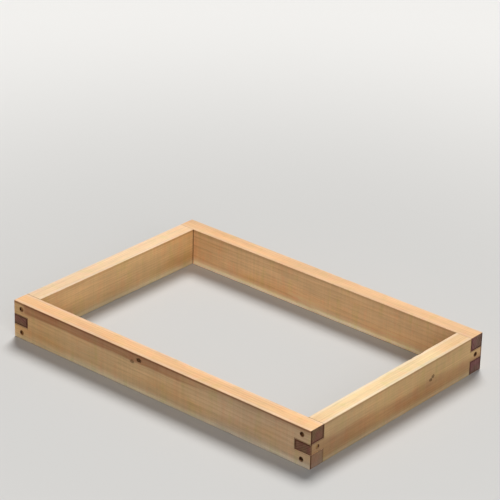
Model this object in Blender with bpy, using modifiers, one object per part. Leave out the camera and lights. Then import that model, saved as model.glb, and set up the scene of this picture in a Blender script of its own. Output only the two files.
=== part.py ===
"""A bare wooden screen printing frame, as it is before the mesh is stretched over it.

Four rails lie on edge and lock together at the corners with three-fingered joints:
each long rail ends in an upper and a lower finger, and each short rail ends in one
middle finger that passes between them. Three sunk steel nails hold every corner.

The frame lies flat. +X runs along the long rails, +Y from front to back, +Z up, and
the origin is under the middle of the frame, on the surface that it lies on.
"""
import math

import bmesh
import bpy

# Driving dimensions, in metres
FRAME_LENGTH = 0.425          # outside, along X
FRAME_WIDTH = 0.294           # outside, along Y
FRAME_HEIGHT = 0.045          # along Z
RAIL_THICKNESS = 0.0205       # of all four rails
FINGER_SLOT = 0.0126          # height of the slot between a long rail's two fingers
FIT_GAP = 0.0003              # clearance wherever two pieces meet

EDGE_EASING = 0.0009          # rounding of the outer edges of the finished frame
EASING_SEGMENTS = 2

NAIL_LENGTH = 0.038
NAIL_SHANK_RADIUS = 0.00105
NAIL_HEAD_RADIUS = 0.0022
NAIL_HEAD_THICKNESS = 0.0009
NAIL_NECK_LENGTH = 0.0008     # cone between the head and the shank
NAIL_POINT_LENGTH = 0.0036
NAIL_SINK = 0.0011            # from the wood's face in to the top of the head
NAIL_INSET = 0.0115           # from the corner's edge in to the nail's axis
NAIL_STEPS = 16               # facets round a nail and round its hole

# Worked out from the driving dimensions
OVERSHOOT = 0.005             # how far a cutter runs past the faces that it cuts
HALF_LENGTH = FRAME_LENGTH / 2
HALF_WIDTH = FRAME_WIDTH / 2
SLOT_BOTTOM = (FRAME_HEIGHT - FINGER_SLOT) / 2
SLOT_TOP = (FRAME_HEIGHT + FINGER_SLOT) / 2
LOWER_NAIL_HEIGHT = SLOT_BOTTOM / 2
MIDDLE_NAIL_HEIGHT = FRAME_HEIGHT / 2
UPPER_NAIL_HEIGHT = FRAME_HEIGHT - SLOT_BOTTOM / 2

MERGE_DISTANCE = 0.00001
SMALLEST_EASED_ANGLE = math.radians(30)

SIDES_X = ((-1, "left"), (1, "right"))
SIDES_Y = ((-1, "front"), (1, "back"))


def clear_scene():
    for scene_object in list(bpy.data.objects):
        bpy.data.objects.remove(scene_object, do_unlink=True)


def new_collection(name):
    collection = bpy.data.collections.new(name)
    bpy.context.scene.collection.children.link(collection)
    return collection


def new_material(name, colour, roughness, metallic):
    material = bpy.data.materials.new(name)
    material.use_nodes = True
    shader = material.node_tree.nodes["Principled BSDF"]
    shader.inputs["Base Color"].default_value = (*colour, 1.0)
    shader.inputs["Roughness"].default_value = roughness
    shader.inputs["Metallic"].default_value = metallic
    return material


def move_to(collection, item):
    for owner in list(item.users_collection):
        owner.objects.unlink(item)
    collection.objects.link(item)


def add_box(name, collection, low, high):
    """A box between two opposite corners, with its scale applied."""
    centre = [(a + b) / 2 for a, b in zip(low, high)]
    bpy.ops.mesh.primitive_cube_add(size=1.0, location=centre)
    box = bpy.context.active_object
    box.name = name
    box.data.name = name
    box.scale = [b - a for a, b in zip(low, high)]
    bpy.ops.object.transform_apply(location=False, rotation=False, scale=True)
    move_to(collection, box)
    return box


def add_cutter_box(name, collection, low, high):
    return as_cutter(add_box(name, collection, low, high))


def as_cutter(item):
    item.hide_render = True
    item.display_type = "WIRE"
    return item


def cut(item, tool, operation="DIFFERENCE"):
    modifier = item.modifiers.new(f"{operation.title()} {tool.name}", "BOOLEAN")
    modifier.operation = operation
    modifier.solver = "EXACT"
    modifier.object = tool


def new_outline_mesh(name, points):
    """A profile of (radius, height) points, listed from the top down the outer side."""
    mesh = bpy.data.meshes.new(name)
    vertices = [(radius, 0.0, height) for radius, height in points]
    edges = [(i, i + 1) for i in range(len(points) - 1)]
    mesh.from_pydata(vertices, edges, [])
    return mesh


def add_turned(name, collection, mesh):
    """Turns a profile mesh into a round piece about its own Z axis."""
    item = bpy.data.objects.new(name, mesh)
    collection.objects.link(item)
    screw = item.modifiers.new("Turn", "SCREW")
    screw.steps = NAIL_STEPS
    screw.render_steps = NAIL_STEPS
    screw.use_merge_vertices = True
    screw.merge_threshold = MERGE_DISTANCE
    screw.use_smooth_shade = True
    return item


def nail_outline():
    """A round nail hanging down from its head, whose top is at height 0."""
    neck_top = -NAIL_HEAD_THICKNESS
    neck_bottom = neck_top - NAIL_NECK_LENGTH
    head_rounding = NAIL_HEAD_THICKNESS / 3
    return [
        (0.0, 0.0),
        (NAIL_HEAD_RADIUS - head_rounding, 0.0),
        (NAIL_HEAD_RADIUS, -head_rounding),
        (NAIL_HEAD_RADIUS, neck_top),
        (NAIL_SHANK_RADIUS, neck_bottom),
        (NAIL_SHANK_RADIUS, NAIL_POINT_LENGTH - NAIL_LENGTH),
        (0.0, -NAIL_LENGTH),
    ]


def nail_hole_outline():
    """The hole that the nail leaves: a punched mouth, then the shank's own bore."""
    mouth_radius = NAIL_HEAD_RADIUS + FIT_GAP
    bore_radius = NAIL_SHANK_RADIUS + FIT_GAP
    mouth_bottom = -NAIL_HEAD_THICKNESS - FIT_GAP
    return [
        (0.0, NAIL_SINK + OVERSHOOT),
        (mouth_radius, NAIL_SINK + OVERSHOOT),
        (mouth_radius, mouth_bottom),
        (bore_radius, mouth_bottom - NAIL_NECK_LENGTH),
        (bore_radius, NAIL_POINT_LENGTH - NAIL_LENGTH),
        (0.0, -NAIL_LENGTH - FIT_GAP),
    ]


def nail_placements(side_x, side_y):
    """Location and rotation of one corner's nails; each head faces out of the corner."""
    across = side_x * (HALF_LENGTH - NAIL_INSET)
    driven_from_y = side_y * (HALF_WIDTH - NAIL_SINK)
    facing_y = (-side_y * math.pi / 2, 0.0, 0.0)
    along = side_y * (HALF_WIDTH - NAIL_INSET)
    driven_from_x = side_x * (HALF_LENGTH - NAIL_SINK)
    facing_x = (0.0, side_x * math.pi / 2, 0.0)
    return {
        "upper": ((across, driven_from_y, UPPER_NAIL_HEIGHT), facing_y),
        "middle": ((driven_from_x, along, MIDDLE_NAIL_HEIGHT), facing_x),
        "lower": ((across, driven_from_y, LOWER_NAIL_HEIGHT), facing_y),
    }


def add_finished_outline(collection):
    """The whole frame's outer shape, with every outward edge eased in one go."""
    outline = add_cutter_box(
        "finished_outline", collection,
        (-HALF_LENGTH, -HALF_WIDTH, 0.0),
        (HALF_LENGTH, HALF_WIDTH, FRAME_HEIGHT))
    window = add_cutter_box(
        "window", collection,
        (RAIL_THICKNESS - HALF_LENGTH, RAIL_THICKNESS - HALF_WIDTH, -OVERSHOOT),
        (HALF_LENGTH - RAIL_THICKNESS, HALF_WIDTH - RAIL_THICKNESS,
         FRAME_HEIGHT + OVERSHOOT))
    cut(outline, window)
    bpy.context.view_layer.update()
    evaluated = outline.evaluated_get(bpy.context.evaluated_depsgraph_get())
    mesh = bpy.data.meshes.new_from_object(evaluated)
    outline.modifiers.clear()
    outline.data = mesh
    weigh_outward_edges(mesh)
    easing = outline.modifiers.new("Ease edges", "BEVEL")
    easing.limit_method = "WEIGHT"
    easing.width = EDGE_EASING
    easing.segments = EASING_SEGMENTS
    return outline


def weigh_outward_edges(mesh):
    """Full bevel weight on outward edges, and none on the window's inner corners."""
    shape = bmesh.new()
    shape.from_mesh(mesh)
    weights = shape.edges.layers.float.new("bevel_weight_edge")
    for edge in shape.edges:
        if edge.is_convex and edge.calc_face_angle() > SMALLEST_EASED_ANGLE:
            edge[weights] = 1.0
    shape.to_mesh(mesh)
    shape.free()


def add_long_rail(name, collection, side_y):
    """A rail as long as the frame, before its finger slots are cut."""
    outer = side_y * HALF_WIDTH
    inner = side_y * (HALF_WIDTH - RAIL_THICKNESS)
    return add_box(
        name, collection,
        (-HALF_LENGTH, min(outer, inner), 0.0),
        (HALF_LENGTH, max(outer, inner), FRAME_HEIGHT))


def add_short_rail(name, collection, side_x):
    """A rail as long as the frame is wide, before its shoulders are cut."""
    outer = side_x * HALF_LENGTH
    inner = side_x * (HALF_LENGTH - RAIL_THICKNESS)
    return add_box(
        name, collection,
        (min(outer, inner), -HALF_WIDTH, 0.0),
        (max(outer, inner), HALF_WIDTH, FRAME_HEIGHT))


def add_slot_cutter(collection, side_x, name_x):
    """Opens both long rails' slots on one side of the frame."""
    slot_end = side_x * (HALF_LENGTH - RAIL_THICKNESS - FIT_GAP)
    beyond = side_x * (HALF_LENGTH + OVERSHOOT)
    return add_cutter_box(
        f"slots_{name_x}", collection,
        (min(slot_end, beyond), -HALF_WIDTH - OVERSHOOT, SLOT_BOTTOM),
        (max(slot_end, beyond), HALF_WIDTH + OVERSHOOT, SLOT_TOP))


def add_shoulder_cutters(collection, side_y, name_y):
    """Free the middle finger at one end of both short rails, above it and below it."""
    shoulder = side_y * (HALF_WIDTH - RAIL_THICKNESS - FIT_GAP)
    beyond = side_y * (HALF_WIDTH + OVERSHOOT)
    reach = HALF_LENGTH + OVERSHOOT
    low_y, high_y = min(shoulder, beyond), max(shoulder, beyond)
    above = add_cutter_box(
        f"shoulders_{name_y}_upper", collection,
        (-reach, low_y, SLOT_TOP - FIT_GAP),
        (reach, high_y, FRAME_HEIGHT + OVERSHOOT))
    below = add_cutter_box(
        f"shoulders_{name_y}_lower", collection,
        (-reach, low_y, -OVERSHOOT),
        (reach, high_y, SLOT_BOTTOM + FIT_GAP))
    return [above, below]


def place(item, location, rotation):
    item.location = location
    item.rotation_euler = rotation


def add_nails(parts, cutters, parent, steel):
    """Twelve nails and their holes. Returns the hole cutters by corner."""
    nail_mesh = new_outline_mesh("nail", nail_outline())
    nail_mesh.materials.append(steel)
    hole_mesh = new_outline_mesh("nail_hole", nail_hole_outline())
    holes = {}
    for side_x, name_x in SIDES_X:
        for side_y, name_y in SIDES_Y:
            corner = (name_y, name_x)
            holes[corner] = []
            for level, placement in nail_placements(side_x, side_y).items():
                label = f"{name_y}_{name_x}_{level}"
                nail = add_turned(f"nail_{label}", parts, nail_mesh)
                place(nail, *placement)
                nail.parent = parent
                hole = as_cutter(add_turned(f"hole_{label}", cutters, hole_mesh))
                place(hole, *placement)
                holes[corner].append(hole)
    return holes


def main():
    clear_scene()
    parts = new_collection("screen_printing_frame")
    cutters = new_collection("cutters")
    frame = bpy.data.objects.new("frame_origin", None)
    parts.objects.link(frame)

    steel = new_material("Nail steel", (0.16, 0.13, 0.11), 0.55, 0.9)
    wood = {
        "front": new_material("Front rail wood", (0.66, 0.45, 0.24), 0.55, 0.0),
        "back": new_material("Back rail wood", (0.68, 0.47, 0.26), 0.55, 0.0),
        "left": new_material("Left rail wood", (0.72, 0.54, 0.32), 0.55, 0.0),
        "right": new_material("Right rail wood", (0.70, 0.51, 0.29), 0.55, 0.0),
    }

    outline = add_finished_outline(cutters)
    holes = add_nails(parts, cutters, frame, steel)
    slots = [add_slot_cutter(cutters, side, name) for side, name in SIDES_X]
    shoulders = []
    for side, name in SIDES_Y:
        shoulders += add_shoulder_cutters(cutters, side, name)

    for side_y, name_y in SIDES_Y:
        rail = add_long_rail(f"{name_y}_rail", parts, side_y)
        corner_holes = [hole for _, name_x in SIDES_X for hole in holes[name_y, name_x]]
        finish_rail(rail, frame, wood[name_y], outline, slots, corner_holes)
    for side_x, name_x in SIDES_X:
        rail = add_short_rail(f"{name_x}_rail", parts, side_x)
        corner_holes = [hole for _, name_y in SIDES_Y for hole in holes[name_y, name_x]]
        finish_rail(rail, frame, wood[name_x], outline, shoulders, corner_holes)


def finish_rail(rail, parent, material, outline, joint_cutters, corner_holes):
    """Cuts a rail's fingers, eases its edges and opens its nail holes."""
    rail.parent = parent
    rail.data.materials.append(material)
    for tool in joint_cutters:
        cut(rail, tool)
    cut(rail, outline, "INTERSECT")
    for hole in corner_holes:
        cut(rail, hole)


main()
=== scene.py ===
"""The looks of a bare wooden screen printing frame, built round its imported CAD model.

Every piece takes its place from the CAD nodes' boxes. Lengths are in metres.
"""
import math
import random

import bmesh
import bpy
from mathutils import Matrix, Vector


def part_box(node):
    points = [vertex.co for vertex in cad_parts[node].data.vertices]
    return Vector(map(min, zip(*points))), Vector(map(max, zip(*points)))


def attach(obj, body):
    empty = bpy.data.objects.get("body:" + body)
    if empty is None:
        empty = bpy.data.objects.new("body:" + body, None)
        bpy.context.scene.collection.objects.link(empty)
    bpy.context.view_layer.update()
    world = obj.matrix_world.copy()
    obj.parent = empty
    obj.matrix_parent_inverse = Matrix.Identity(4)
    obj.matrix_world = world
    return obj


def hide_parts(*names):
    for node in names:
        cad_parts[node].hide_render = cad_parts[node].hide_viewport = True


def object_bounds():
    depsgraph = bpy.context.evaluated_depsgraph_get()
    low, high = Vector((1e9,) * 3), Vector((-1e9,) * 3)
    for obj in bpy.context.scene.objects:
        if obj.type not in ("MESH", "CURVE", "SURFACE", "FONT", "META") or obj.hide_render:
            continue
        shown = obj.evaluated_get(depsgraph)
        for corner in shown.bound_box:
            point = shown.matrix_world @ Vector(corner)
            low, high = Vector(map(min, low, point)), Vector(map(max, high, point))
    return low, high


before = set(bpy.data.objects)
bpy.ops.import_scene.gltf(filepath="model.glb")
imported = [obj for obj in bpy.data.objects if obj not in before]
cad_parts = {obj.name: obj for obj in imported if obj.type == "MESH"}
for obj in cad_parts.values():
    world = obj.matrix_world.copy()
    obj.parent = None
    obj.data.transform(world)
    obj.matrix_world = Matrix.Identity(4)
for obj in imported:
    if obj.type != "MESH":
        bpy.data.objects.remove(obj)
cad_low, cad_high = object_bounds()

# The object's main planes, read from the CAD nodes
HALF_LENGTH = cad_high.x
HALF_WIDTH = cad_high.y
HEIGHT = cad_high.z
MID_HEIGHT = HEIGHT / 2
WINDOW_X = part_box("right_rail")[0].x          # the window's half length
WINDOW_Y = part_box("back_rail")[0].y           # the window's half width
THICKNESS = HALF_LENGTH - WINDOW_X
SEAM_GAP = 0.0001             # what is left open in a joint, once it is glued up

# Edges of the rails
ARRIS = 0.0007                # rounding of the finished frame's edges
SEAM_ARRIS_SHARE = 0.40       # a joint's edges on the sides have this share of it
SANDED_SEAM_ARRIS_SHARE = 0.14   # and those on the sanded upper and lower faces this
ARRIS_SEGMENTS = 4
LATTICE_STEP = 0.0034         # spacing of a rail's mesh
KNOCKS_PER_RAIL = 9
KNOCK_RADII = (0.004, 0.009)
KNOCK_DEPTHS = (0.0001, 0.0004)

# Nails
NAIL_SEGMENTS = 28
HOLE_SEGMENTS = 36
BORE_CLEARANCE = 0.0003
HEAD_THICKNESS = 0.0009
NECK_LENGTH = 0.0008
SHANK_SHARE = 0.477           # shank radius over head radius
POINT_LENGTH = 0.0036
GRIP_RINGS = 5
GRIP_RING_STEP = 0.0009
GRIP_RING_SHARE = 1.09        # grip ring radius over shank radius
RUSTED_NAILS = ("nail_front_left_upper", "nail_front_left_lower", "nail_back_left_upper",
                "nail_back_right_lower")
DUSTY_NAIL = "nail_front_right_middle"     # paler than the others, with less stain round it

# Camera: the direction it looks from, its aim and its lens
CAMERA_AZIMUTH = math.radians(40.09)
CAMERA_ELEVATION = math.radians(25.47)
CAMERA_ROLL = math.radians(1.5)
CAMERA_DISTANCE = 2.753
CAMERA_AIM = Vector((-0.137, 0.166, 0.0225))
CAMERA_LENS = 167.5

# Studio: the sky's light and that of the horizon, which ends where a direction's height
# passes HORIZON_TOP; the suns' angles are in degrees
SKY_LIGHT = 0.17
HORIZON_LIGHT = 0.87
HORIZON_TOP = 0.055
SKY_BOTTOM = 0.090
SUNS = {
    "key": dict(azimuth=212, elevation=56, softness=24, power=2.97, colour=(1.0, 0.985, 0.96)),
    "fill": dict(azimuth=60, elevation=28, softness=40, power=0.825, colour=(1.0, 0.98, 0.96)),
}
SUN_DISTANCE = 3.0
FLOOR_SIZE = 24.0
FLOOR_GAP = 0.0002
FLOOR_NEAR = (0.62, 0.62, 0.615)
FLOOR_FAR = (0.82, 0.82, 0.815)

RAILS = ("front_rail", "back_rail", "left_rail", "right_rail")
LONG_RAILS = RAILS[:2]


def finger_band():
    """Lowest and highest point of a short rail's middle finger."""
    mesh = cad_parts["right_rail"].data
    heights = [v.co.z for v in mesh.vertices if v.co.y > WINDOW_Y + THICKNESS / 2]
    return min(heights), max(heights)


FINGER_LOW, FINGER_HIGH = finger_band()
SLOT_LOW, SLOT_HIGH = FINGER_LOW - SEAM_GAP, FINGER_HIGH + SEAM_GAP


# ---------------------------------------------------------------- mesh helpers


def new_piece(name, mesh):
    item = bpy.data.objects.new(name, mesh)
    bpy.context.scene.collection.objects.link(item)
    return item


def mesh_from(shape, name):
    mesh = bpy.data.meshes.new(name)
    shape.to_mesh(mesh)
    shape.free()
    return mesh


def apply_modifiers(item):
    bpy.context.view_layer.update()
    evaluated = item.evaluated_get(bpy.context.evaluated_depsgraph_get())
    mesh = bpy.data.meshes.new_from_object(evaluated)
    item.modifiers.clear()
    item.data = mesh


def steps_between(low, high, step, fixed=()):
    """Even steps from low to high that also stop at every fixed value."""
    stops = sorted({low, high, *[f for f in fixed if low < f < high]})
    values = [stops[0]]
    for start, end in zip(stops, stops[1:]):
        count = max(1, round((end - start) / step))
        values += [start + (end - start) * (i + 1) / count for i in range(count)]
    return values


def lattice_mesh(name, lines, is_solid):
    """The skin, in quads, of those cells of a box lattice that is_solid accepts."""
    counts = [len(axis_lines) - 1 for axis_lines in lines]

    def solid(cell):
        if any(c < 0 or c >= n for c, n in zip(cell, counts)):
            return False
        return is_solid(*[(lines[k][cell[k]] + lines[k][cell[k] + 1]) / 2 for k in range(3)])

    shape = bmesh.new()
    corners = {}

    def corner(index):
        if index not in corners:
            corners[index] = shape.verts.new([lines[k][index[k]] for k in range(3)])
        return corners[index]

    def add_quad(cell, axis, side):
        around = [(0, 0), (1, 0), (1, 1), (0, 1)]
        if side == 0:
            around.reverse()
        quad = []
        for step_b, step_c in around:
            index = list(cell)
            index[axis] += side
            index[(axis + 1) % 3] += step_b
            index[(axis + 2) % 3] += step_c
            quad.append(corner(tuple(index)))
        shape.faces.new(quad)

    cells = [(i, j, k) for i in range(counts[0]) for j in range(counts[1])
             for k in range(counts[2])]
    filled = {cell for cell in cells if solid(cell)}
    for cell in cells:
        if cell not in filled:
            continue
        for axis in range(3):
            for side in (0, 1):
                beside = list(cell)
                beside[axis] += 2 * side - 1
                if tuple(beside) not in filled:
                    add_quad(cell, axis, side)
    return mesh_from(shape, name)


def turned_mesh(name, outline, segments, top, tip, location, outward, warp=None):
    """A closed round mesh from (radius, height) points; height runs along outward."""
    shape = bmesh.new()
    rings = []
    for radius, height in outline:
        ring = []
        for step in range(segments):
            angle = 2 * math.pi * step / segments
            reach = radius * (warp(angle, height) if warp else 1.0)
            place = (reach * math.cos(angle), reach * math.sin(angle), height)
            ring.append(shape.verts.new(place))
        rings.append(ring)
    cap = shape.verts.new((0.0, 0.0, top))
    point = shape.verts.new((0.0, 0.0, tip))
    for step in range(segments):
        after = (step + 1) % segments
        shape.faces.new((cap, rings[0][step], rings[0][after]))
        for upper, lower in zip(rings, rings[1:]):
            shape.faces.new((upper[step], lower[step], lower[after], upper[after]))
        shape.faces.new((rings[-1][after], rings[-1][step], point))
    turn = Vector((0, 0, 1)).rotation_difference(outward).to_matrix().to_4x4()
    shape.transform(Matrix.Translation(location) @ turn)
    bmesh.ops.recalc_face_normals(shape, faces=shape.faces)
    return mesh_from(shape, name)


# ---------------------------------------------------------------- nails


class Nail:
    """One nail's place and size, read from its CAD node."""

    def __init__(self, node):
        low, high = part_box(node)
        spans = high - low
        self.node = node
        self.axis = max(range(3), key=lambda k: spans[k])
        self.length = spans[self.axis]
        self.head_radius = min(spans) / 2
        self.shank_radius = self.head_radius * SHANK_SHARE
        centre = (low + high) / 2
        self.outward = Vector((0, 0, 0))
        self.outward[self.axis] = math.copysign(1.0, centre[self.axis])
        self.head = centre + self.outward * (self.length / 2)
        face = HALF_LENGTH if self.axis == 0 else HALF_WIDTH
        self.sink = face - abs(self.head[self.axis])


def make_nail(nail, steel):
    """A wire nail: domed head, gripping rings under it, a four-sided point."""
    head, shank = nail.head_radius, nail.shank_radius
    neck_top = -HEAD_THICKNESS
    neck_bottom = neck_top - NECK_LENGTH
    outline = [
        (head * 0.30, -0.00004),
        (head * 0.62, -0.00008),
        (head * 0.88, -0.00018),
        (head * 0.98, -0.00034),
        (head, -0.00052),
        (head * 0.98, neck_top),
        (shank * 1.30, neck_bottom + NECK_LENGTH * 0.35),
        (shank, neck_bottom),
    ]
    for ring in range(GRIP_RINGS):
        start = neck_bottom - NECK_LENGTH - ring * GRIP_RING_STEP
        outline += [
            (shank, start),
            (shank * GRIP_RING_SHARE, start - GRIP_RING_STEP * 0.25),
            (shank, start - GRIP_RING_STEP * 0.5),
        ]
    shoulder = POINT_LENGTH - nail.length
    for share in (0.33, 0.66):
        start = outline[-1][1]
        outline.append((shank, start + (shoulder - start) * share))
    outline += [
        (shank, shoulder),
        (shank * 0.86, shoulder - POINT_LENGTH * 0.18),
        (shank * 0.50, shoulder - POINT_LENGTH * 0.55),
        (shank * 0.14, shoulder - POINT_LENGTH * 0.93),
    ]

    def four_sided(angle, height):
        if height > shoulder:
            return 1.0
        share = min(1.0, (shoulder - height) / (POINT_LENGTH * 0.3))
        square = 0.86 / max(abs(math.cos(angle)), abs(math.sin(angle)))
        return 1 + (min(square, 1.08) - 1) * share

    mesh = turned_mesh(nail.node + "_wire", outline, NAIL_SEGMENTS, 0.0, -nail.length,
                       nail.head, nail.outward, four_sided)
    mesh.shade_smooth()
    mesh.set_sharp_from_angle(angle=math.radians(40))
    mesh.materials.append(steel)
    piece = new_piece(nail.node + "_wire", mesh)
    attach(piece, "root")
    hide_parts(nail.node)


def hole_cutter_mesh(nail):
    """The punched hole over a nail's head, with an uneven mouth, and the nail's bore."""
    head = nail.head_radius
    bore = nail.shank_radius * GRIP_RING_SHARE + BORE_CLEARANCE
    outside = nail.sink + 0.003
    outline = [
        (head * 1.30, outside),
        (head * 1.17, nail.sink + 0.0001),
        (head * 1.11, nail.sink - 0.0003),
        (head * 1.09, nail.sink - 0.0008),
        (head * 1.08, -HEAD_THICKNESS - BORE_CLEARANCE),
        (bore, -HEAD_THICKNESS - NECK_LENGTH - BORE_CLEARANCE),
        (bore, POINT_LENGTH - nail.length),
        (bore * 0.3, -nail.length - BORE_CLEARANCE / 2),
    ]
    draw = random.Random(nail.node)
    waves = [(count, draw.uniform(0, 2 * math.pi), draw.uniform(0.01, 0.03))
             for count in (2, 3, 5)]

    def uneven(angle, height):
        if height < -HEAD_THICKNESS:
            return 1.0
        return 1 + sum(size * math.sin(count * angle + shift) for count, shift, size in waves)

    return turned_mesh(nail.node + "_hole", outline, HOLE_SEGMENTS, outside,
                       -nail.length - BORE_CLEARANCE, nail.head, nail.outward, uneven)


# ---------------------------------------------------------------- rails


def is_long(rail):
    return rail in LONG_RAILS


def in_rail(rail):
    """A test of whether a point is inside the rail, with its fingers cut."""
    low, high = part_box(rail)

    def solid(x, y, z):
        inside = all(low[k] < c < high[k] for k, c in enumerate((x, y, z)))
        if not inside:
            return False
        if is_long(rail):
            in_slot = SLOT_LOW < z < SLOT_HIGH
            return not (in_slot and abs(x) > WINDOW_X - SEAM_GAP)
        in_finger = FINGER_LOW < z < FINGER_HIGH
        return in_finger or abs(y) < WINDOW_Y - SEAM_GAP

    return solid


def rail_lattice(rail):
    low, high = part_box(rail)
    if is_long(rail):
        shoulder = WINDOW_X - SEAM_GAP
        xs = steps_between(low.x, high.x, LATTICE_STEP, (-shoulder, shoulder))
        ys = steps_between(low.y, high.y, LATTICE_STEP)
        zs = steps_between(low.z, high.z, LATTICE_STEP, (SLOT_LOW, SLOT_HIGH))
    else:
        shoulder = WINDOW_Y - SEAM_GAP
        xs = steps_between(low.x, high.x, LATTICE_STEP)
        ys = steps_between(low.y, high.y, LATTICE_STEP, (-shoulder, shoulder))
        zs = steps_between(low.z, high.z, LATTICE_STEP, (FINGER_LOW, FINGER_HIGH))
    return xs, ys, zs


def shows(centre, normal):
    """True for a face of the finished frame, False for one inside a joint."""
    close = SEAM_GAP / 2
    x, y = abs(centre.x), abs(centre.y)
    if abs(normal.z) > 0.5:
        return centre.z < close or centre.z > HEIGHT - close
    if abs(normal.x) > 0.5:
        return x > HALF_LENGTH - close or (abs(x - WINDOW_X) < close and y < WINDOW_Y)
    return y > HALF_WIDTH - close or (abs(y - WINDOW_Y) < close and x < WINDOW_X)


def ease_edges(item):
    """Rounds the finished frame's edges fully, and the joints' edges a little."""
    shape = bmesh.new()
    shape.from_mesh(item.data)
    weights = shape.edges.layers.float.new("bevel_weight_edge")
    for edge in shape.edges:
        if not edge.is_convex or edge.calc_face_angle() < math.radians(30):
            continue
        shown = [shows(face.calc_center_median(), face.normal) for face in edge.link_faces]
        sanded = any(abs(face.normal.z) > 0.5 and seen
                     for face, seen in zip(edge.link_faces, shown))
        seam = SANDED_SEAM_ARRIS_SHARE if sanded else SEAM_ARRIS_SHARE
        edge[weights] = 1.0 if all(shown) else seam
    shape.to_mesh(item.data)
    shape.free()
    bevel = item.modifiers.new("Eased edges", "BEVEL")
    bevel.limit_method = "WEIGHT"
    bevel.width = ARRIS
    bevel.segments = ARRIS_SEGMENTS
    apply_modifiers(item)


def long_edges(rail):
    """The rail's shown long edges: start, end and the way into the wood."""
    low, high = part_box(rail)
    edges = []
    for across in (-1, 1):
        for up in (-1, 1):
            z = high.z if up > 0 else low.z
            if is_long(rail):
                y = high.y if across > 0 else low.y
                reach = HALF_LENGTH if abs(y) > WINDOW_Y + SEAM_GAP else WINDOW_X
                ends = Vector((-reach, y, z)), Vector((reach, y, z))
                inward = Vector((0, -across, -up)).normalized()
            else:
                x = high.x if across > 0 else low.x
                ends = Vector((x, -WINDOW_Y, z)), Vector((x, WINDOW_Y, z))
                inward = Vector((-across, 0, -up)).normalized()
            edges.append((*ends, inward))
    return edges


def knock_edges(mesh, rail):
    """A few shallow knocks along the rail's edges, from handling and stacking."""
    draw = random.Random(rail)
    edges = long_edges(rail)
    for _ in range(KNOCKS_PER_RAIL):
        start, end, inward = draw.choice(edges)
        centre = start.lerp(end, draw.uniform(0.08, 0.92))
        radius = draw.uniform(*KNOCK_RADII)
        depth = draw.uniform(*KNOCK_DEPTHS)
        for vertex in mesh.vertices:
            distance = (vertex.co - centre).length
            if distance < radius:
                vertex.co += inward * (depth * math.cos(distance / radius * math.pi / 2) ** 2)


def cut_holes(item, nails):
    shape = bmesh.new()
    for nail in nails:
        mesh = hole_cutter_mesh(nail)
        shape.from_mesh(mesh)
        bpy.data.meshes.remove(mesh)
    cutter = new_piece("hole_cutters", mesh_from(shape, "hole_cutters"))
    holes = item.modifiers.new("Nail holes", "BOOLEAN")
    holes.operation = "DIFFERENCE"
    holes.solver = "EXACT"
    holes.object = cutter
    apply_modifiers(item)
    bpy.data.objects.remove(cutter)


def make_rail(rail, nails, material):
    item = new_piece(rail + "_timber", lattice_mesh(rail, rail_lattice(rail), in_rail(rail)))
    ease_edges(item)
    knock_edges(item.data, rail)
    side = rail.split("_")[0]
    cut_holes(item, [nail for nail in nails if side in nail.node.split("_")])
    item.data.shade_smooth()
    item.data.set_sharp_from_angle(angle=math.radians(35))
    item.data.materials.clear()
    item.data.materials.append(material)
    item.modifiers.new("Flat faces stay flat", "WEIGHTED_NORMAL").keep_sharp = True
    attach(item, "root")
    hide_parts(rail)


# ---------------------------------------------------------------- node graphs


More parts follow.
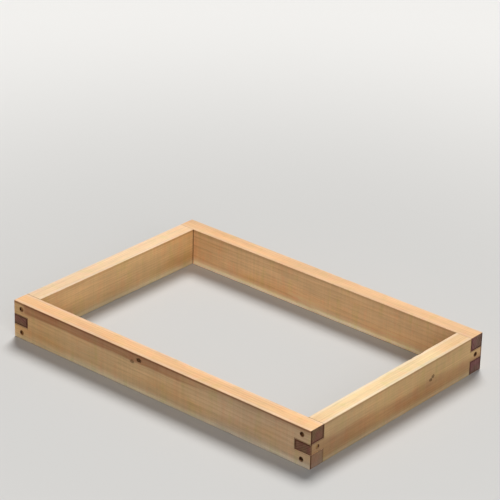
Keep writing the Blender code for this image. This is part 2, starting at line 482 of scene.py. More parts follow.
class Graph:
    """Short names for the shader nodes that the materials here are made of."""

    def __init__(self, name):
        self.material = bpy.data.materials.new(name)
        self.material.use_nodes = True
        self.tree = self.material.node_tree
        self.shader = self.tree.nodes["Principled BSDF"]
        coordinates = self.add("ShaderNodeTexCoord")
        self.position = coordinates.outputs["Object"]
        self.normal = coordinates.outputs["Normal"]

    def add(self, kind, **settings):
        node = self.tree.nodes.new(kind)
        for key, value in settings.items():
            setattr(node, key, value)
        return node

    def feed(self, socket, value):
        if isinstance(value, bpy.types.NodeSocket):
            self.tree.links.new(value, socket)
        elif isinstance(value, (tuple, list)) and len(value) == 3 and socket.type == "RGBA":
            socket.default_value = (*value, 1.0)
        else:
            socket.default_value = value

    def math(self, operation, *values, clamp=False):
        node = self.add("ShaderNodeMath", operation=operation, use_clamp=clamp)
        for socket, value in zip(node.inputs, values):
            self.feed(socket, value)
        return node.outputs[0]

    def product(self, *values):
        """All the values multiplied together."""
        result = values[0]
        for value in values[1:]:
            result = self.math("MULTIPLY", result, value)
        return result

    def inverse(self, share):
        """What a share leaves of 1."""
        return self.math("SUBTRACT", 1.0, share)

    def away(self, value, place):
        """How far a value is from a place, on either side of it."""
        return self.math("ABSOLUTE", self.math("SUBTRACT", value, place))

    def vector(self, operation, *values):
        node = self.add("ShaderNodeVectorMath", operation=operation)
        for socket, value in zip(node.inputs, values):
            self.feed(socket, value)
        return node.outputs["Value" if operation == "LENGTH" else "Vector"]

    def split(self, vector):
        node = self.add("ShaderNodeSeparateXYZ")
        self.feed(node.inputs[0], vector)
        return list(node.outputs)

    def join(self, x, y, z):
        node = self.add("ShaderNodeCombineXYZ")
        for socket, value in zip(node.inputs, (x, y, z)):
            self.feed(socket, value)
        return node.outputs[0]

    def noise(self, vector, scale, detail=2.0, roughness=0.5, output="Fac"):
        """Noise with its own scale along each axis, in waves per metre."""
        node = self.add("ShaderNodeTexNoise")
        node.inputs["Scale"].default_value = 1.0
        node.inputs["Detail"].default_value = detail
        node.inputs["Roughness"].default_value = roughness
        self.feed(node.inputs["Vector"], self.vector("MULTIPLY", vector, scale))
        return node.outputs[output]

    def step(self, value, low, high):
        """0 below low, 1 above high and a smooth rise between; falls if low > high."""
        node = self.add("ShaderNodeMapRange", interpolation_type="SMOOTHSTEP")
        self.feed(node.inputs["Value"], value)
        self.feed(node.inputs["From Min"], low)
        self.feed(node.inputs["From Max"], high)
        return node.outputs["Result"]

    def span(self, value, low, high):
        """Spreads a 0 to 1 value between low and high."""
        return self.math("MULTIPLY_ADD", value, high - low, low)

    def mix(self, share, first, second, blend="MIX"):
        node = self.add("ShaderNodeMix", data_type="RGBA", blend_type=blend)
        self.feed(node.inputs["Factor"], share)
        self.feed(node.inputs[6], first)
        self.feed(node.inputs[7], second)
        return node.outputs[2]

    def times(self, colour, factor):
        """A colour multiplied by another."""
        return self.mix(1.0, colour, factor, "MULTIPLY")

    def tint(self, share, colour, factor):
        """A colour that is multiplied by the factor where the share is 1."""
        return self.mix(share, colour, self.times(colour, factor))

    def shade(self, colour, value):
        """A colour at another brightness."""
        return self.times(colour, self.join(value, value, value))

    def relief(self, height, strength, depth):
        """Gives the shader its bump, from a height and the depth that it stands for."""
        bump = self.add("ShaderNodeBump")
        bump.inputs["Strength"].default_value = strength
        bump.inputs["Distance"].default_value = depth
        self.feed(bump.inputs["Height"], height)
        self.feed(self.shader.inputs["Normal"], bump.outputs["Normal"])


# ---------------------------------------------------------------- wood


# For each rail: the colours of early and late wood, the tint of the sanded upper and lower
# faces (partly painted light), that of the sides towards the near corner (partly painted
# shade), how strong the painted highlight along the lower edge is, how dark the painted
# shade under the upper edges, how strong the painted highlight along the upper edges is,
# the painted light and shade at the lower edge (lighter on some rails, darker on others),
# the pith's place and drift, across and up, the growth rings per metre, and where in the
# noise the rail lies
WOODS = {
    "front_rail": dict(
        early=(0.630, 0.406, 0.200), late=(0.485, 0.268, 0.113), sanded=(1.30, 1.17, 1.08),
        near=(0.93, 0.97, 1.13), foot_highlight_share=0.45, under_edge_shade_share=1.00, edge_highlight_share=0.90,
        low_edge_light_and_shade=1.27, pith=(0.052, -0.030), drift=(0.010, -0.006), rings=430, seed=3.1),
    "back_rail": dict(
        early=(0.795, 0.504, 0.254), late=(0.62, 0.344, 0.145), sanded=(0.995, 0.94, 0.90),
        near=(1.00, 1.00, 1.00), foot_highlight_share=1.00, under_edge_shade_share=0.30, edge_highlight_share=0.40,
        low_edge_light_and_shade=1.36, pith=(-0.060, -0.024), drift=(-0.012, 0.008), rings=400, seed=17.7),
    "left_rail": dict(
        early=(0.89, 0.567, 0.262), late=(0.71, 0.400, 0.160), sanded=(0.965, 1.05, 1.31),
        near=(1.00, 1.00, 1.00), foot_highlight_share=0.70, under_edge_shade_share=0.30, edge_highlight_share=0.40,
        low_edge_light_and_shade=0.68, pith=(0.048, 0.078), drift=(0.014, 0.010), rings=380, seed=29.3),
    "right_rail": dict(
        early=(0.635, 0.404, 0.177), late=(0.51, 0.293, 0.110), sanded=(1.37, 1.56, 1.84),
        near=(0.85, 0.88, 0.95), foot_highlight_share=1.00, under_edge_shade_share=0.45, edge_highlight_share=0.80,
        low_edge_light_and_shade=0.97, pith=(-0.050, 0.074), drift=(-0.010, -0.012), rings=410, seed=41.9),
}

# The noises of the wood; each scale is along, across and up, in waves per metre
TEXTURES = {
    "fibres": dict(scale=(34, 1500, 1500), detail=4.0, roughness=0.65),
    "strands": dict(scale=(9, 620, 620), detail=3.0, roughness=0.6),
    "streaks": dict(scale=(5, 160, 160), detail=3.0, roughness=0.6),
    "flecks": dict(scale=(95, 2100, 2100)),
    "saw marks": dict(scale=(380, 6, 5), detail=3.0, roughness=0.65),
    "tone": dict(scale=(14, 55, 45), detail=3.0),
    "mottle": dict(scale=(105, 60, 34), detail=3.0, roughness=0.55, shift=(5.0, 9.0, 2.0)),
    "blotches": dict(scale=(13, 40, 40), shift=(1.0, 4.0, 8.0)),
    "wander": dict(scale=(16, 90, 90), detail=3.0, roughness=0.6),
    "warp": dict(scale=(3.5, 14, 14), output="Color"),
    "pores": dict(scale=(60, 1300, 1300), roughness=0.6),
    "end streaks": dict(scale=(30, 190, 190)),
    "end tint": dict(scale=(45, 75, 75)),
}

# Darkest and lightest that a noise makes the wood
SHADES = {
    "fibres": (0.80, 1.20),
    "streaks": (0.88, 1.12),
    "strands": (0.86, 1.14),
    "tone": (0.78, 1.22),
}
FLECK_SHADE = 0.86
SAW_MARK_SHADE = 0.20

LATE_WOOD_SHARE = 0.46                # how strongly the rings show along the grain
RING_WARP = 0.0075                    # how far the rings waver
RING_SPREAD = 1.8                     # how unevenly they are spaced, in rings
WEAKEST_RING = 0.35

# Colours
END_EARLY = (0.240, 0.138, 0.094)
END_LATE = (0.141, 0.070, 0.048)
END_TINTS = ((1.02, 0.79, 0.82), (0.93, 0.99, 0.80))    # purple and olive
KNOT_BROWN = (0.130, 0.058, 0.018)
KNOT_RIM = (0.045, 0.017, 0.005)

# Tints, which multiply the wood's colour
ROSY = (1.02, 0.95, 0.95)
OLIVE = (0.95, 0.99, 0.89)
PEACH = (1.00, 0.92, 0.84)
HEARTWOOD = (0.68, 0.50, 0.43)
GLUE_LINE = (0.30, 0.20, 0.15)
NAIL_STAIN = (0.28, 0.14, 0.07)
# painted shade under the upper edges
UNDER_EDGE_SHADE = (0.47, 0.28, 0.15)
# darkens the wood along the upright edges of the corners
CORNER_DARKENING = (0.33, 0.21, 0.12)
# painted light: the lower part of the sides made paler
LOW_SIDE_LIGHT = (1.10, 1.32, 1.66)
# painted highlight along the lower edge of the sides
FOOT_HIGHLIGHT = (1.24, 1.42, 1.60)
# painted highlight along the edges of the upper and lower faces
EDGE_HIGHLIGHT = (1.02, 1.17, 1.60)
FRONT_TOP_TINT = (1.08, 1.15, 1.18)   # the front rail's upper face, towards the right
RIGHT_TOP_TINT = (0.893, 0.80, 0.757)     # the right rail's upper face, towards its ends
LEFT_END_TINT = (0.98, 0.90, 0.76)    # the front rail's left end
PURPLE_ENDS = {"back_rail": (0.94, 0.95, 1.30)}

# Where a mark begins and where it is full: how far from the edge, the joint or the nail
# painted highlight along the edges of the upper and lower faces
EDGE_HIGHLIGHT_REACH = (0.0054, 0.0018)
# painted light on the lower part of the sides
LOW_SIDE_LIGHT_REACH = (0.0125, 0.0015)
# painted highlight along the lower edge of the sides
FOOT_HIGHLIGHT_REACH = (0.0068, 0.0024)
# painted shade under the upper edges
UNDER_EDGE_SHADE_REACH = (0.0034, 0.0014)
UNDER_EDGE_SHADE_STOP = (0.0002, 0.0008)         # and where the painted shade ends, next to the edge
CORNER_DARKENING_REACH = (0.0030, 0.0015)
SEAM_REACH = (0.00155, 0.0004)
END_SEAM_REACH = (0.0027, 0.0009)
STAIN_REACH = (0.0036, 0.0023)
# how strong the painted light on the lower part of the sides is
LOW_SIDE_LIGHT_SHARE = 0.85
SUNLIT_FOOT_LIGHT_LOSS = 0.7                # how much less painted light and highlight the foot of a far side gets
SEAM_SHARES = (0.12, 0.90)            # how dark the seams are, on flat faces and on sides
STAIN_SHARE = 0.86                    # how dark the stain is round a nail along Y
SIDE_STAIN_SHARES = (0.84, 0.30)      # and round one along X, elsewhere and at the near corner

# Heartwood on the front rail: the band's lower edge, its slope and its rise towards the
# right, how soft that edge is, how dark the band and the line in it are, and how much of
# the band is left at the right end
BAND_HEIGHT = HEIGHT - 0.0104
BAND_SLOPE = 0.006
BAND_RISE = 0.0042
BAND_SOFTNESS = 0.0014
BAND_SHARE = 0.90
DARK_LINE_HEIGHT = 0.0016
DARK_LINE_SHARE = 0.20
BAND_END_SHARE = 0.30
OUTER_REACH = (0.006, 0.003)          # depths behind the outer face where it begins and is full
SIDE_BAND_HEIGHT = 0.0235             # the right rail's band: its upper edge
SIDE_BAND_SLOPE = -0.020
SIDE_BAND_SOFTNESS = 0.0045
SIDE_BAND_SHARE = 0.58
WANDER = 0.007                        # how far a band's edge wanders

# Surface
WOOD_ROUGHNESS = 0.44
FIBRE_ROUGHNESS = 0.14                # what the fibres and end grain add to it
END_ROUGHNESS = 0.22
WOOD_SPECULAR = 0.42
DULL_SPECULAR = 0.08                  # on end grain, knots and crushed fibres
WOOD_IOR = 1.45
RELIEF_STRENGTH = 0.45
RELIEF_DEPTH = 0.00035

OPEN_END_SHARE = 0.76                 # how dark the end of the near corner's lower finger is
OPEN_SEAM_SHARE = 0.35                # and how dark the seam round it
FAR_SIDE_SHADES = {"back_rail": 0.80, "left_rail": 0.72}    # painted shade: the far sides darker where the key sun lights them

# Pin knots: place, radius and how dark
PIN_KNOTS = {
    "front_rail": [((-0.0235, -HALF_WIDTH, 0.0386), 0.0023, 1.00),
                   ((-0.0333, -HALF_WIDTH, 0.0338), 0.0020, 0.55)],
    "right_rail": [((HALF_LENGTH, 0.0585, 0.0260), 0.0019, 0.65),
                   ((HALF_LENGTH, 0.0545, 0.0230), 0.0018, 0.65)],
    "back_rail": [((0.0720, HALF_WIDTH, 0.0150), 0.0016, 0.80)],
    "left_rail": [((-HALF_LENGTH, -0.0400, 0.0300), 0.0013, 0.80)],
}
KNOT_SWELL_LENGTH = 0.42              # the rings' bulge round a knot is longer than it is high
KNOT_LENGTH = 0.72                    # and so is the knot


class WoodGraph(Graph):
    """The graph of one rail's wood: its directions, its faces and its noises."""

    def __init__(self, rail):
        super().__init__(rail + "_wood")
        self.rail = rail
        self.wood = WOODS[rail]
        self.low, self.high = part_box(rail)
        self.x, self.y, self.z = self.split(self.position)
        self.along, self.across = (self.x, self.y) if is_long(rail) else (self.y, self.x)
        self.grain = self.join(self.along, self.across, self.z)
        seed = self.wood["seed"]
        self.seeded = self.vector("ADD", self.grain, (seed, seed * 2, seed * 3))
        self.textures = {}
        self.find_faces()
        self.find_places()
        self.flecks = self.step(self.texture("flecks"), 0.60, 0.70)
        self.saw_marks = self.product(self.math("SUBTRACT", self.texture("saw marks"), 0.5),
                                      self.side)

    def find_faces(self):
        """Shares that are 1 on the sides, on end grain and on faces across X."""
        across_x, across_y, up = [self.math("ABSOLUTE", part)
                                  for part in self.split(self.normal)]
        self.side = self.math("SUBTRACT", 1.0, up, clamp=True)
        self.end = self.step(across_x if is_long(self.rail) else across_y, 0.45, 0.85)
        self.x_face = self.step(across_x, 0.55, 0.90)

    def find_places(self):
        """Shares that are 1 at the near corner, low on it, and on the sunlit far sides."""
        self.near_corner = self.product(self.step(self.x, 0.01, HALF_LENGTH - 0.001),
                                        self.step(self.y, -0.01, -WINDOW_Y + 0.01))
        self.near_foot = self.product(self.step(self.z, MID_HEIGHT, MID_HEIGHT - 0.006),
                                      self.near_corner)
        self.end_share = self.end
        if self.rail == "front_rail":
            self.end_share = self.product(self.end,
                                          self.span(self.near_foot, 1.0, OPEN_END_SHARE))
        self.sunlit = 0.0
        if self.rail in FAR_SIDE_SHADES:
            inner = WINDOW_Y if is_long(self.rail) else WINDOW_X
            self.sunlit = self.step(self.math("ABSOLUTE", self.across),
                                    inner + 0.006, inner + 0.014)

    def texture(self, name):
        """One of the TEXTURES, made when it is first asked for."""
        if name not in self.textures:
            settings = dict(TEXTURES[name])
            place = self.vector("ADD", self.seeded, settings.pop("shift", (0, 0, 0)))
            self.textures[name] = self.noise(place, **settings)
        return self.textures[name]

    def grain_length(self, offset, share):
        """The length of an offset whose part along the grain counts for a share only."""
        squeeze = (share, 1.0, 1.0) if is_long(self.rail) else (1.0, share, 1.0)
        return self.vector("LENGTH", self.vector("MULTIPLY", offset, squeeze))


def pith_distance(graph):
    """How far a point is from the pith, which lies outside the rail and drifts past it."""
    wood = graph.wood
    middle = (graph.low + graph.high) / 2
    pith_across = (middle.y if is_long(graph.rail) else middle.x) + wood["pith"][0]
    pith_up = MID_HEIGHT + wood["pith"][1]
    warp = graph.vector("SUBTRACT", graph.texture("warp"), (0.5, 0.5, 0.5))
    warp = graph.vector("MULTIPLY", warp, (0.0, RING_WARP, RING_WARP))
    _, bent_across, bent_up = graph.split(graph.vector("ADD", graph.grain, warp))
    drift_across = graph.math("MULTIPLY_ADD", graph.along, wood["drift"][0], pith_across)
    drift_up = graph.math("MULTIPLY_ADD", graph.along, wood["drift"][1], pith_up)
    return graph.vector("LENGTH", graph.join(
        graph.math("SUBTRACT", bent_across, drift_across),
        graph.math("SUBTRACT", bent_up, drift_up), 0.0))


def add_knots(graph, reach):
    """Pushes the rings aside at the pin knots, and finds the knots' cores and rims."""
    ragged = graph.math("SUBTRACT", graph.noise(graph.position, (700, 700, 700)), 0.5)
    cores, rims = 0.0, 0.0
    for centre, radius, strength in PIN_KNOTS[graph.rail]:
        offset = graph.vector("SUBTRACT", graph.position, centre)
        swell = graph.step(graph.grain_length(offset, KNOT_SWELL_LENGTH), radius * 4.5, 0.0)
        reach = graph.math("MULTIPLY_ADD", swell, radius * 0.9, reach)
        size = graph.math("MULTIPLY_ADD", ragged, radius * 1.3,
                          graph.grain_length(offset, KNOT_LENGTH))
        core = graph.product(graph.step(size, radius * 1.30, radius * 0.60), strength)
        cores = graph.math("MAXIMUM", cores, core)
        from_rim = graph.away(size, radius * 0.70)
        rim = graph.product(graph.step(from_rim, radius * 0.7, 0.0), strength)
        rims = graph.math("MAXIMUM", rims, rim)
    return reach, cores, rims


def late_wood(graph, reach):
    """The dark late wood of each growth ring, weaker in some rings than in others."""
    spread = graph.noise(graph.join(reach, graph.wood["seed"], 0.0), (70, 1, 1), detail=1.0)
    phase = graph.math("MULTIPLY_ADD", reach, graph.wood["rings"],
                       graph.span(spread, -RING_SPREAD, RING_SPREAD))
    within = graph.math("FRACT", phase)
    ring_random = graph.add("ShaderNodeTexWhiteNoise", noise_dimensions="1D")
    graph.feed(ring_random.inputs["W"], graph.math("FLOOR", phase))
    return graph.product(graph.step(within, 0.42, 0.92), graph.step(within, 1.0, 0.95),
                         graph.span(ring_random.outputs["Value"], WEAKEST_RING, 1.0))


def clean_colour(graph, late):
    """Planed wood on the sides and sanded wood on the upper and lower faces, the latter's tint
    partly painted light; the sides' tint towards the near corner is partly painted shade.
    """
    wood, x, y = graph.wood, graph.x, graph.y
    mottle = graph.texture("mottle")
    colour = graph.mix(graph.product(late, LATE_WOOD_SHARE), wood["early"], wood["late"])
    colour = graph.tint(graph.step(mottle, 0.52, 0.70), colour, ROSY)
    colour = graph.tint(graph.step(mottle, 0.48, 0.30), colour, OLIVE)
    colour = graph.tint(graph.step(graph.texture("blotches"), 0.50, 0.72), colour, PEACH)
    # partly painted shade: the sides' tint towards the near corner
    near = graph.step(x, 0.02, 0.12) if is_long(graph.rail) else graph.step(y, -0.03, -0.11)
    planed = graph.tint(near, colour, wood["near"])
    # partly painted light: the upper and lower faces made paler, for sanding and for how the light
    # falls on them
    sanded = graph.times(colour, wood["sanded"])
    if graph.rail == "front_rail":
        planed = graph.tint(graph.step(x, -0.10, -0.18), planed, LEFT_END_TINT)
        sanded = graph.tint(graph.step(x, 0.06, 0.20), sanded, FRONT_TOP_TINT)
    if graph.rail == "right_rail":
        from_middle = graph.away(y, -0.012)
        sanded = graph.tint(graph.step(from_middle, 0.070, 0.125), sanded, RIGHT_TOP_TINT)
    return graph.mix(graph.side, sanded, planed)


def brightness(graph):
    """Fibres, streaks and saw marks, the slow change of tone along and up a board, and painted
    light and shade: the sides lighter towards the lower edge on some rails and darker on
    others, and the far sides darker where the key sun lights them.
    """
    shades = [graph.span(graph.texture(name), *ends) for name, ends in SHADES.items()]
    detail = graph.product(*shades, graph.span(graph.flecks, 1.0, FLECK_SHADE),
                           graph.math("MULTIPLY_ADD", graph.saw_marks, SAW_MARK_SHADE, 1.0))
    # painted light and shade: each rail's colour scaled towards the lower edge, up on some rails
    # and down on others
    tone = graph.span(graph.math("DIVIDE", graph.z, HEIGHT), graph.wood["low_edge_light_and_shade"], 1.0)
    # painted shade: the sunlit far sides take a darker, even tone in place of the one above
    if graph.rail in FAR_SIDE_SHADES:
        lit = graph.product(graph.sunlit, FAR_SIDE_SHADES[graph.rail])
        unlit = graph.product(tone, graph.inverse(graph.sunlit))
        sides = graph.product(graph.math("ADD", lit, unlit), graph.side)
        flats = graph.product(tone, graph.inverse(graph.side))
        tone = graph.math("ADD", sides, flats)
    return graph.product(detail, tone)


def front_heartwood(graph, wander):
    """A tapering band under the upper edge, with a darker line along its lower side."""
    slope = graph.math("MULTIPLY_ADD", graph.x, BAND_SLOPE, BAND_HEIGHT)
    lower_edge = graph.math("MULTIPLY_ADD", graph.step(graph.x, 0.015, 0.110), BAND_RISE, slope)
    above = graph.math("SUBTRACT", graph.math("MULTIPLY_ADD", wander, 0.35, graph.z), lower_edge)
    dark_line = graph.step(graph.away(above, DARK_LINE_HEIGHT), 0.0013, 0.0002)
    band = graph.product(graph.step(above, -BAND_SOFTNESS, BAND_SOFTNESS), BAND_SHARE)
    band = graph.math("MULTIPLY_ADD", dark_line, DARK_LINE_SHARE, band)
    right_end = graph.span(graph.step(graph.x, 0.095, -0.020), BAND_END_SHARE, 1.0)
    left_end = graph.step(graph.x, -HALF_LENGTH + 0.011, -HALF_LENGTH + 0.019)
    outer = graph.step(graph.math("ADD", graph.y, HALF_WIDTH), *OUTER_REACH)
    return graph.product(band, graph.product(right_end, left_end), outer)


def right_heartwood(graph, wander):
    """A soft, low band on the outer side."""
    upper_edge = graph.math("MULTIPLY_ADD", graph.y, SIDE_BAND_SLOPE, SIDE_BAND_HEIGHT)
    below = graph.math("SUBTRACT", upper_edge, graph.math("ADD", graph.z, wander))
    band = graph.step(below, -SIDE_BAND_SOFTNESS, SIDE_BAND_SOFTNESS)
    outer = graph.step(graph.math("SUBTRACT", HALF_LENGTH, graph.x), *OUTER_REACH)
    return graph.product(band, outer, SIDE_BAND_SHARE)


def add_heartwood(graph, colour):
    """Patchy, reddish heartwood on the front and right rails."""
    bands = {"front_rail": front_heartwood, "right_rail": right_heartwood}
    if graph.rail not in bands:
        return colour
    wander = graph.span(graph.texture("wander"), -WANDER, WANDER)
    patchy = graph.product(graph.span(graph.texture("streaks"), 0.55, 1.40),
                           graph.span(graph.texture("mottle"), 0.68, 1.28))
    share = graph.product(bands[graph.rail](graph, wander), graph.product(patchy, graph.side))
    return graph.tint(share, colour, HEARTWOOD)


def add_under_edge_shade(graph, colour):
    """Painted shade just under the upper edges."""
    below_top = graph.math("SUBTRACT", HEIGHT, graph.z)
    under_edge = graph.product(graph.step(below_top, *UNDER_EDGE_SHADE_REACH),
                               graph.step(below_top, *UNDER_EDGE_SHADE_STOP))
    shade_strength = graph.math("MAXIMUM", graph.end, graph.wood["under_edge_shade_share"])
    share = graph.product(under_edge, graph.side,
                          graph.span(graph.texture("tone"), 0.60, 1.15), shade_strength)
    return graph.tint(share, colour, UNDER_EDGE_SHADE)


def paint_edge_highlights(graph, colour):
    """A painted highlight along the edges of the upper and lower faces."""
    low, high = graph.low, graph.high
    inner, outer = (low.y, high.y) if is_long(graph.rail) else (low.x, high.x)
    from_edge = graph.math("MINIMUM", graph.math("SUBTRACT", graph.across, inner),
                           graph.math("SUBTRACT", outer, graph.across))
    share = graph.product(graph.step(from_edge, *EDGE_HIGHLIGHT_REACH), graph.inverse(graph.side),
                          graph.span(graph.texture("mottle"), 0.40, 1.30), graph.wood["edge_highlight_share"])
    return graph.tint(share, colour, EDGE_HIGHLIGHT)


def paint_foot_light(graph, colour):
    """Painted light low on the sides, and a painted highlight along their lower edge."""
    shaded_side = graph.product(
        graph.side, graph.math("MULTIPLY_ADD", graph.sunlit, -SUNLIT_FOOT_LIGHT_LOSS, 1.0))
    low_light = graph.product(graph.step(graph.z, *LOW_SIDE_LIGHT_REACH), shaded_side, LOW_SIDE_LIGHT_SHARE)
    colour = graph.tint(low_light, colour, LOW_SIDE_LIGHT)
    line = graph.product(graph.step(graph.z, *FOOT_HIGHLIGHT_REACH), shaded_side,
                         graph.span(graph.texture("mottle"), 0.60, 1.30), graph.wood["foot_highlight_share"])
    return graph.tint(line, colour, FOOT_HIGHLIGHT)


def end_grain(graph, late):
    """The dark end grain: the rings from their ends, pores and purple or olive patches."""
    colour = graph.mix(late, END_EARLY, END_LATE)
    patches = graph.step(graph.texture("end tint"), 0.35, 0.65)
    colour = graph.times(colour, graph.mix(patches, *END_TINTS))
    value = graph.product(graph.span(graph.texture("pores"), 0.60, 1.40),
                          graph.span(graph.texture("end streaks"), 0.70, 1.30))
    colour = graph.shade(colour, value)
    if graph.rail in PURPLE_ENDS:
        colour = graph.times(colour, PURPLE_ENDS[graph.rail])
    return colour


def darken_corner_edges(graph, colour):
    """Darker wood along the upright edges of the corners, on the faces across X."""
    from_corner = graph.math("SUBTRACT", HALF_WIDTH, graph.math("ABSOLUTE", graph.y))
    share = graph.product(graph.step(from_corner, *CORNER_DARKENING_REACH), graph.x_face,
                          graph.span(graph.texture("mottle"), 0.55, 1.20))
    return graph.tint(share, colour, CORNER_DARKENING)


def joint_distance(graph):
    """How far a point is from the nearest joint face of its corner."""
    past_x = graph.math("SUBTRACT", graph.math("ABSOLUTE", graph.x), WINDOW_X)
    past_y = graph.math("SUBTRACT", graph.math("ABSOLUTE", graph.y), WINDOW_Y)
    past_slot = graph.math("SUBTRACT", graph.away(graph.z, MID_HEIGHT),
                           (SLOT_HIGH - SLOT_LOW) / 2)
    before_x, before_y, in_slot = [graph.math("MULTIPLY", past, -1.0)
                                   for past in (past_x, past_y, past_slot)]

    def wall(plane, limit, other_limit):
        near = graph.math("ABSOLUTE", plane)
        return graph.math("MAXIMUM", near, graph.math("MAXIMUM", limit, other_limit))

    shoulder = wall(past_y, before_x, in_slot)
    slot_end = wall(past_x, before_y, past_slot)
    finger_side = wall(past_slot, before_x, before_y)
    return graph.math("MINIMUM", shoulder, graph.math("MINIMUM", slot_end, finger_side))


def add_seams(graph, colour):
    """Glue and dirt in the seams: wider on end grain, faint on the sanded faces."""
    from_joint = joint_distance(graph)
    line = graph.step(from_joint, *SEAM_REACH)
    end_line = graph.product(graph.step(from_joint, *END_SEAM_REACH), graph.end_share)
    share = graph.product(graph.math("MAXIMUM", line, end_line),
                          graph.span(graph.texture("tone"), 0.45, 1.1),
                          graph.span(graph.side, *SEAM_SHARES),
                          graph.span(graph.near_foot, 1.0, OPEN_SEAM_SHARE))
    return graph.tint(share, colour, GLUE_LINE)


def nail_distances(graph, nails):
    """How far a point is from the nearest nail that runs along Y, and along X."""
    along_y = next(nail for nail in nails if nail.axis == 1)
    along_x = next(nail for nail in nails if nail.axis == 0)
    from_middle = graph.away(graph.z, MID_HEIGHT)
    off_x = graph.math("SUBTRACT", graph.math("ABSOLUTE", graph.x), abs(along_y.head.x))
    off_z = graph.math("SUBTRACT", from_middle, abs(along_y.head.z - MID_HEIGHT))
    off_y = graph.math("SUBTRACT", graph.math("ABSOLUTE", graph.y), abs(along_x.head.y))
    return (graph.vector("LENGTH", graph.join(off_x, off_z, 0.0)),
            graph.vector("LENGTH", graph.join(off_y, from_middle, 0.0)))


def add_nail_stains(graph, colour, nails):
    """Crushed, stained fibres round the nail holes, and where they are."""
    crushed = 0.0
    strengths = (STAIN_SHARE, graph.span(graph.near_corner, *SIDE_STAIN_SHARES))
    for distance, strength in zip(nail_distances(graph, nails), strengths):
        ring = graph.step(distance, *STAIN_REACH)
        crushed = graph.math("MAXIMUM", crushed, ring)
        colour = graph.tint(graph.product(ring, strength), colour, NAIL_STAIN)
    return colour, crushed


def wood_material(rail, nails):
    """Solid softwood: growth rings about a pith outside the rail, cut by its faces."""
    graph = WoodGraph(rail)
    reach, knot_cores, knot_rims = add_knots(graph, pith_distance(graph))
    late = late_wood(graph, reach)

    colour = graph.shade(clean_colour(graph, late), brightness(graph))
    colour = add_heartwood(graph, colour)
    colour = graph.mix(graph.product(knot_cores, 0.92), colour, KNOT_BROWN)
    colour = graph.mix(graph.product(knot_rims, 0.75), colour, KNOT_RIM)
    colour = add_under_edge_shade(graph, colour)
    colour = paint_edge_highlights(graph, colour)
    colour = paint_foot_light(graph, colour)
    colour = graph.mix(graph.end_share, colour, end_grain(graph, late))
    colour = darken_corner_edges(graph, colour)
    colour = add_seams(graph, colour)
    colour, crushed = add_nail_stains(graph, colour, nails)

    height = graph.math("MULTIPLY_ADD", graph.texture("fibres"), 0.70, graph.product(late, 0.22))
    for part, share in ((graph.texture("strands"), 0.35), (graph.saw_marks, 0.60),
                        (graph.flecks, -0.25)):
        height = graph.math("MULTIPLY_ADD", part, share, height)
    graph.relief(height, RELIEF_STRENGTH, RELIEF_DEPTH)
    rough = graph.math("MULTIPLY_ADD", graph.texture("fibres"), FIBRE_ROUGHNESS, WOOD_ROUGHNESS)
    rough = graph.math("MULTIPLY_ADD", graph.end_share, END_ROUGHNESS, rough)
    dull = graph.math("MAXIMUM", graph.math("MAXIMUM", knot_cores, graph.end_share), crushed)
    graph.feed(graph.shader.inputs["Base Color"], colour)
    graph.feed(graph.shader.inputs["Roughness"], rough)
    specular = graph.span(dull, WOOD_SPECULAR, DULL_SPECULAR)
    graph.feed(graph.shader.inputs["Specular IOR Level"], specular)
    graph.shader.inputs["IOR"].default_value = WOOD_IOR
    return graph.material


# ---------------------------------------------------------------- steel


CLEAN_STEEL = (0.022, 0.011, 0.006)
RUST = (0.290, 0.135, 0.045)
DUSTY_RUST = (0.440, 0.250, 0.085)


def steel_material(name, rust_low, rust_high, rust_colour=RUST):
    """Darkened wire nail steel; rust grows from where the noise passes rust_low."""
    graph = Graph(name)
    rust = graph.step(graph.noise(graph.position, (420, 420, 420), 4.0, 0.65),
                      rust_low, rust_high)
    scratches = graph.noise(graph.position, (2600, 2600, 2600), 2.0, 0.6)
    colour = graph.shade(graph.mix(rust, CLEAN_STEEL, rust_colour),
                         graph.span(scratches, 0.80, 1.20))
    graph.feed(graph.shader.inputs["Base Color"], colour)
    graph.feed(graph.shader.inputs["Metallic"], graph.span(rust, 0.60, 0.05))
    graph.feed(graph.shader.inputs["Roughness"], graph.span(rust, 0.48, 0.85))
    graph.shader.inputs["Specular IOR Level"].default_value = 0.15
    graph.relief(graph.math("MULTIPLY_ADD", rust, 0.6, scratches), 0.5, 0.00008)
    return graph.material


def nail_steels(nails):
    """Each nail's steel: most are fairly clean, some are rusted and one is dusty as well."""
    steels = dict.fromkeys([nail.node for nail in nails], steel_material("nail_steel", 0.42, 0.66))
    rusted = steel_material("nail_steel_rusted", 0.22, 0.40)
    steels.update(dict.fromkeys(RUSTED_NAILS, rusted))
    steels[DUSTY_NAIL] = steel_material("nail_steel_dusty", 0.16, 0.34, DUSTY_RUST)
    return steels


# ---------------------------------------------------------------- stage


def towards(azimuth, elevation, distance):
    """A place round the frame; azimuth 0 is in front and 90 is to the right."""
    level = math.cos(elevation) * distance
    return Vector((math.sin(azimuth) * level, -math.cos(azimuth) * level,
                   math.sin(elevation) * distance))


def add_floor():
    """A plain pale floor, lighter away from the frame."""
    bpy.ops.mesh.primitive_plane_add(size=FLOOR_SIZE, location=(0.0, 0.0, -FLOOR_GAP))
    floor = bpy.context.active_object
    floor.name = "studio_floor"
    graph = Graph("pale_floor")
    away = graph.step(graph.vector("LENGTH", graph.position), 0.30, 1.15)
    graph.feed(graph.shader.inputs["Base Color"], graph.mix(away, FLOOR_NEAR, FLOOR_FAR))
    graph.shader.inputs["Roughness"].default_value = 0.9
    graph.shader.inputs["Specular IOR Level"].default_value = 0.1
    floor.data.materials.append(graph.material)


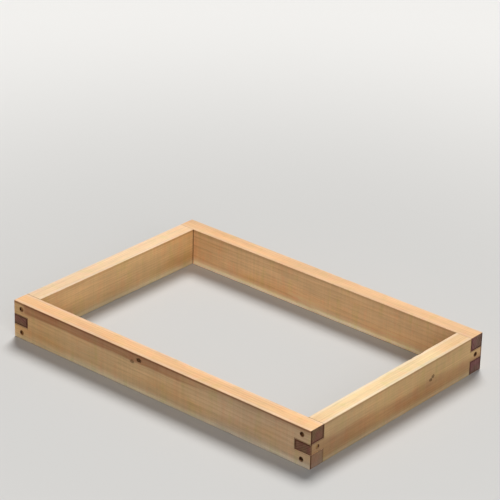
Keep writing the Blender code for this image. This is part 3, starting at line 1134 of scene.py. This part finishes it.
def add_sun(name, azimuth, elevation, softness, power, colour):
    data = bpy.data.lights.new(name, "SUN")
    data.angle = math.radians(softness)
    data.energy = power
    data.color = colour
    light = bpy.data.objects.new(name, data)
    bpy.context.scene.collection.objects.link(light)
    light.location = towards(math.radians(azimuth), math.radians(elevation), SUN_DISTANCE)
    light.rotation_euler = light.location.to_track_quat("Z", "Y").to_euler()


def add_sky():
    """Weak light from above, and a pale horizon that the floor runs into."""
    world = bpy.data.worlds.new("studio")
    bpy.context.scene.world = world
    world.use_nodes = True
    nodes, links = world.node_tree.nodes, world.node_tree.links
    direction = nodes.new("ShaderNodeTexCoord")
    parts = nodes.new("ShaderNodeSeparateXYZ")
    fade = nodes.new("ShaderNodeMapRange")
    fade.interpolation_type = "SMOOTHSTEP"
    for name, value in (("From Min", HORIZON_TOP), ("From Max", SKY_BOTTOM),
                        ("To Min", HORIZON_LIGHT), ("To Max", SKY_LIGHT)):
        fade.inputs[name].default_value = value
    background = nodes["Background"]
    background.inputs["Color"].default_value = (1.0, 1.0, 1.0, 1.0)
    links.new(direction.outputs["Generated"], parts.inputs[0])
    links.new(parts.outputs["Z"], fade.inputs["Value"])
    links.new(fade.outputs["Result"], background.inputs["Strength"])


def add_camera():
    data = bpy.data.cameras.new("camera")
    data.sensor_width = 36.0
    data.lens = CAMERA_LENS
    data.clip_end = 60.0
    camera = bpy.data.objects.new("camera", data)
    bpy.context.scene.collection.objects.link(camera)
    back = towards(CAMERA_AZIMUTH, CAMERA_ELEVATION, 1.0)
    camera.location = CAMERA_AIM + back * CAMERA_DISTANCE
    level = (-back).to_track_quat("-Z", "Y").to_matrix()
    roll = Matrix.Rotation(CAMERA_ROLL, 3, "Z")
    camera.rotation_euler = (level @ roll).to_euler()
    bpy.context.scene.camera = camera


def main():
    bpy.context.scene.view_settings.view_transform = "Standard"
    add_camera()
    add_sky()
    for name, settings in SUNS.items():
        add_sun(name, **settings)
    add_floor()
    nails = [Nail(node) for node in sorted(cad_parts) if node.startswith("nail_")]
    steels = nail_steels(nails)
    for nail in nails:
        make_nail(nail, steels[nail.node])
    for rail in RAILS:
        make_rail(rail, nails, wood_material(rail, nails))


main()
